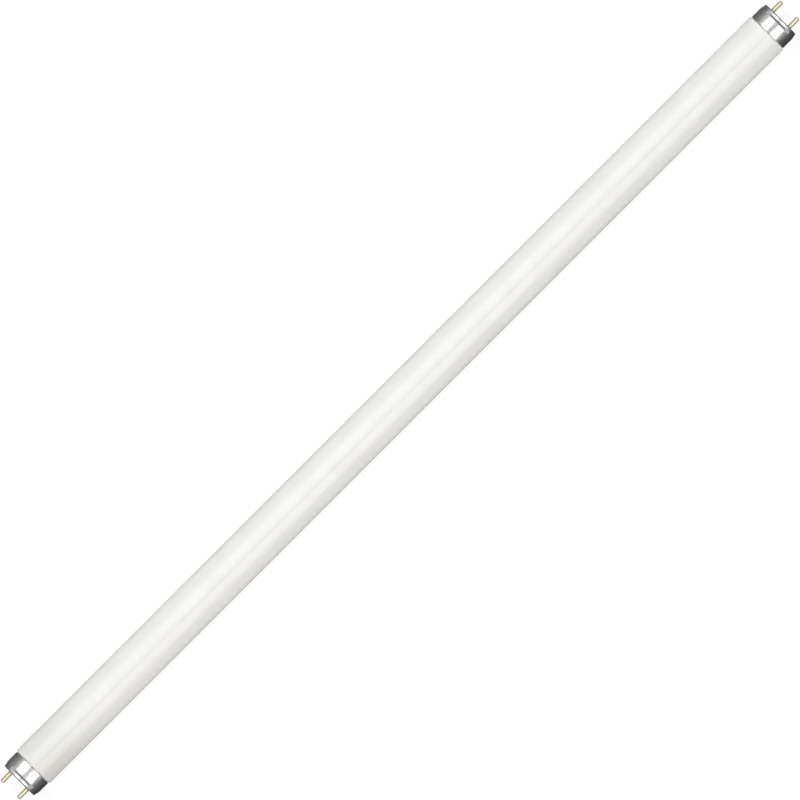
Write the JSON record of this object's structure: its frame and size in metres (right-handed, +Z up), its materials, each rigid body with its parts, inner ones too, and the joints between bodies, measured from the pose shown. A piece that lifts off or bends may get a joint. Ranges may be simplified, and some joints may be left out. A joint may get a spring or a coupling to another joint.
{
  "type": "fluorescent tube",
  "caption": "Long straight white-coated glass tube that gives light, closed at both ends by stepped aluminium caps with brass contact pins.",
  "frame": {"origin": "middle of the lamp, on its axis, halfway between the faces of the two caps", "axes": "+X along the lamp towards its right end, Y along the line between the pins of a cap, +Z up"},
  "size_m": [0.604, 0.0254, 0.0254],
  "materials": {
    "coated_glass": "smooth gloss outside, opaque white from the powder inside",
    "cap_aluminium": "bright drawn sheet",
    "moulded_insulator": "moulded, matt",
    "pin_brass": "drawn, semi-bright",
    "basing_cement": "rough, chalky",
    "lead_wire": "drawn wire"
  },
  "bodies": {
    "root": {"glass_tube": "coated_glass", "cap_shell_left": "cap_aluminium", "cap_shell_right": "cap_aluminium", "insulator_left": "moulded_insulator", "insulator_right": "moulded_insulator", "pin_front_left": "pin_brass", "pin_back_left": "pin_brass", "pin_front_right": "pin_brass", "pin_back_right": "pin_brass", "cement_ring_left": "basing_cement", "cement_ring_right": "basing_cement", "lead_wire_front_left": "lead_wire", "lead_wire_back_left": "lead_wire", "lead_wire_front_right": "lead_wire", "lead_wire_back_right": "lead_wire"}
  },
  "joints": []
}
